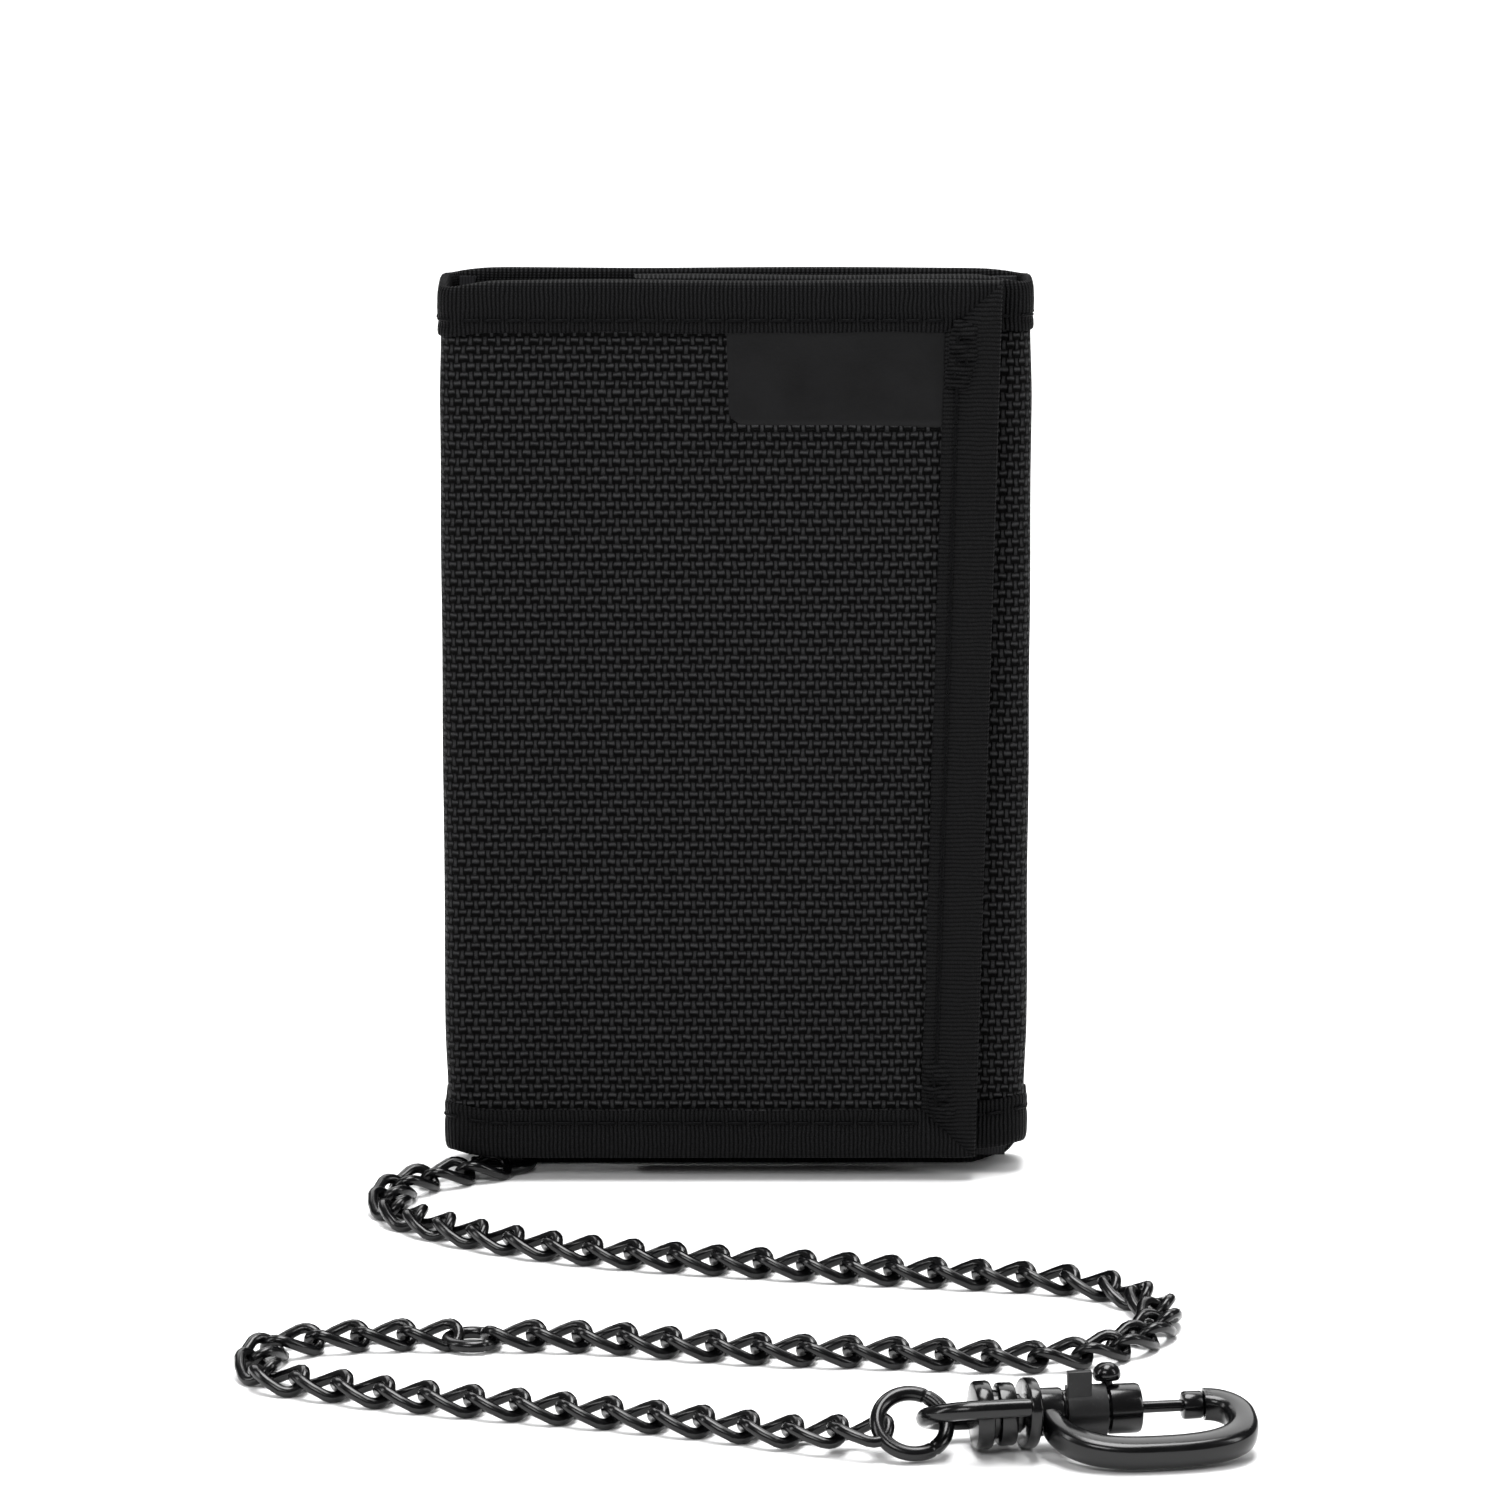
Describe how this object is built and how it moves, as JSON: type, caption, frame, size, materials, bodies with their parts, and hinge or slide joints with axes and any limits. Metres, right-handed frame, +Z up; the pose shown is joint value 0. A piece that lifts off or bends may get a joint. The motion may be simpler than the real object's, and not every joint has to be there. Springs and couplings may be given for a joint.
{
  "type": "chain wallet",
  "caption": "Tri-fold fabric wallet with bound edges, card pockets and a clear window, tethered by a flat curb chain to a swivelling snap hook with a locking collar.",
  "frame": {"origin": "bottom centre of the closed wallet, without its chain and hook, on the surface that it stands on", "axes": "+Z up along the folds, +X towards the fold of the inner flap, -Y out of the front cover"},
  "size_m": [0.1276, 0.1494, 0.1274],
  "materials": {
    "ballistic_fabric": "basket weave with a slight sheen",
    "grosgrain_tape": "ribbed across its length",
    "lining_fabric": "plain fine weave",
    "stiffening_sheet": "matte",
    "webbing": "tight ribbed weave",
    "patch_rubber": "smooth satin",
    "touch_fastener": "hooks and loops",
    "clear_vinyl": "clear, slightly wavy",
    "black_chain_metal": "gloss black plated",
    "black_hook_metal": "gloss black plated",
    "dark_collar_metal": "satin black",
    "spring_steel": "drawn wire"
  },
  "bodies": {
    "wallet": {"back_outer_fabric": "ballistic_fabric", "back_stiffener": "stiffening_sheet", "back_lining": "lining_fabric", "back_top_binding": "grosgrain_tape", "back_bottom_binding": "grosgrain_tape", "note_divider": "lining_fabric", "pocket_panel": "lining_fabric", "pocket_top_binding": "grosgrain_tape", "card_pocket_upper": "lining_fabric", "card_pocket_middle": "lining_fabric", "card_pocket_lower": "lining_fabric", "ring_tab": "webbing", "wallet_ring": "black_chain_metal", "chain_long": "black_chain_metal", "joining_ring": "black_chain_metal", "chain_short": "black_chain_metal", "jump_ring": "black_chain_metal", "swivel_bail": "black_hook_metal", "swivel_plate": "black_hook_metal"},
    "left_fold": {"left_fold_fabric": "ballistic_fabric", "left_fold_top_binding": "grosgrain_tape", "left_fold_bottom_binding": "grosgrain_tape"},
    "cover": {"cover_outer_fabric": "ballistic_fabric", "cover_stiffener": "stiffening_sheet", "cover_lining": "lining_fabric", "cover_top_binding": "grosgrain_tape", "cover_bottom_binding": "grosgrain_tape", "cover_edge_binding": "grosgrain_tape", "label_patch": "patch_rubber", "cover_pocket_upper": "lining_fabric", "cover_pocket_lower": "lining_fabric", "hook_tape": "touch_fastener"},
    "right_fold": {"right_fold_fabric": "ballistic_fabric", "right_fold_top_binding": "grosgrain_tape", "right_fold_bottom_binding": "grosgrain_tape"},
    "inner_flap": {"flap_outer_fabric": "ballistic_fabric", "flap_stiffener": "stiffening_sheet", "flap_lining": "lining_fabric", "flap_top_binding": "grosgrain_tape", "flap_bottom_binding": "grosgrain_tape", "flap_edge_binding": "grosgrain_tape", "window_frame": "lining_fabric", "clear_window": "clear_vinyl", "loop_tape": "touch_fastener"},
    "hook": {"swivel_spool": "black_hook_metal", "hook_frame": "black_hook_metal", "plunger_spring": "spring_steel"},
    "plunger": {"plunger_rod": "black_hook_metal", "thumb_knob": "black_hook_metal"},
    "lock_collar": {"lock_collar": "dark_collar_metal"}
  },
  "joints": [
    {"name": "left_fold_hinge", "type": "hinge", "parent": "wallet", "child": "left_fold", "pos_m": [-0.041, 0.008, 0.064], "axis": [0, 0, -1], "range_deg": [0, 90]},
    {"name": "cover_hinge", "type": "hinge", "parent": "left_fold", "child": "cover", "pos_m": [-0.041, -0.008, 0.064], "axis": [0, 0, -1], "range_deg": [0, 90]},
    {"name": "right_fold_hinge", "type": "hinge", "parent": "wallet", "child": "right_fold", "pos_m": [0.041, 0.008, 0.064], "axis": [0, 0, 1], "range_deg": [0, 36]},
    {"name": "flap_hinge", "type": "hinge", "parent": "right_fold", "child": "inner_flap", "pos_m": [0.041, -0.00365, 0.064], "axis": [0, 0, 1], "range_deg": [0, 45]},
    {"name": "swivel_turn", "type": "hinge", "parent": "wallet", "child": "hook", "pos_m": [0.0223, -0.133, 0.0048], "axis": [-0.9877, -0.1564, 0], "continuous": true},
    {"name": "plunger_slide", "type": "slide", "parent": "hook", "child": "plunger", "axis": [-0.9877, -0.1564, 0], "range_m": [0, 0.0042], "stiffness_N_per_m": 250, "springref_m": -0.002, "deforming": ["plunger_spring"]},
    {"name": "collar_turn", "type": "hinge", "parent": "hook", "child": "lock_collar", "pos_m": [0.0223, -0.133, 0.0048], "axis": [0.9877, 0.1564, 0], "range_deg": [0, 30]}
  ],
  "couplings": [
    {"joint": "cover_hinge", "follows": "left_fold_hinge", "ratio": 1},
    {"joint": "right_fold_hinge", "follows": "left_fold_hinge", "ratio": 0.4},
    {"joint": "flap_hinge", "follows": "left_fold_hinge", "ratio": 0.5}
  ]
}
